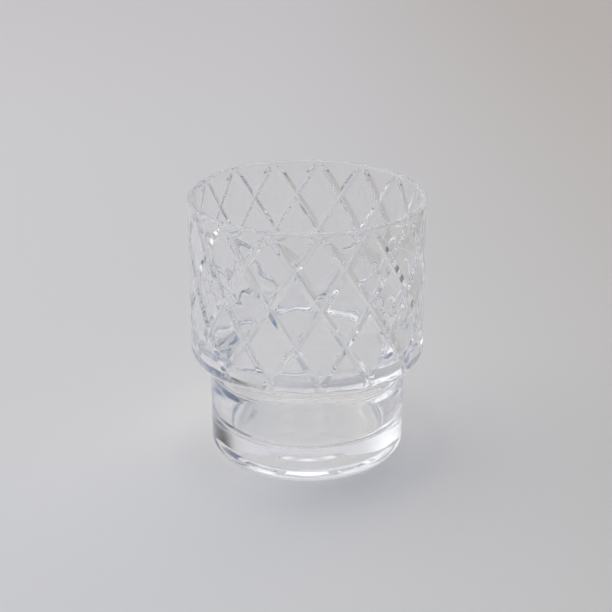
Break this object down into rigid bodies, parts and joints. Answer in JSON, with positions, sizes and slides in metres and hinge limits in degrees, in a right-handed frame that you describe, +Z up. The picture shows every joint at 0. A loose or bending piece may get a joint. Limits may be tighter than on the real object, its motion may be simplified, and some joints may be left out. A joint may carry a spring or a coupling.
{
  "type": "whiskey tumbler",
  "caption": "Clear pressed-glass tumbler with a diamond lattice of grooves round its bowl, a rounded shoulder and a narrower thick-walled foot.",
  "frame": {"origin": "centre of the base, on the plane that the standing ring rests on", "axes": "+Z up along the axis of the glass; -Y is the front, where a column of lattice crossings stands"},
  "size_m": [0.0838, 0.0838, 0.0956],
  "materials": {
    "clear_glass": "clear pressed soda-lime glass, fire polished, smooth inside and out"
  },
  "bodies": {
    "root": {"tumbler_glass": "clear_glass"}
  },
  "joints": []
}
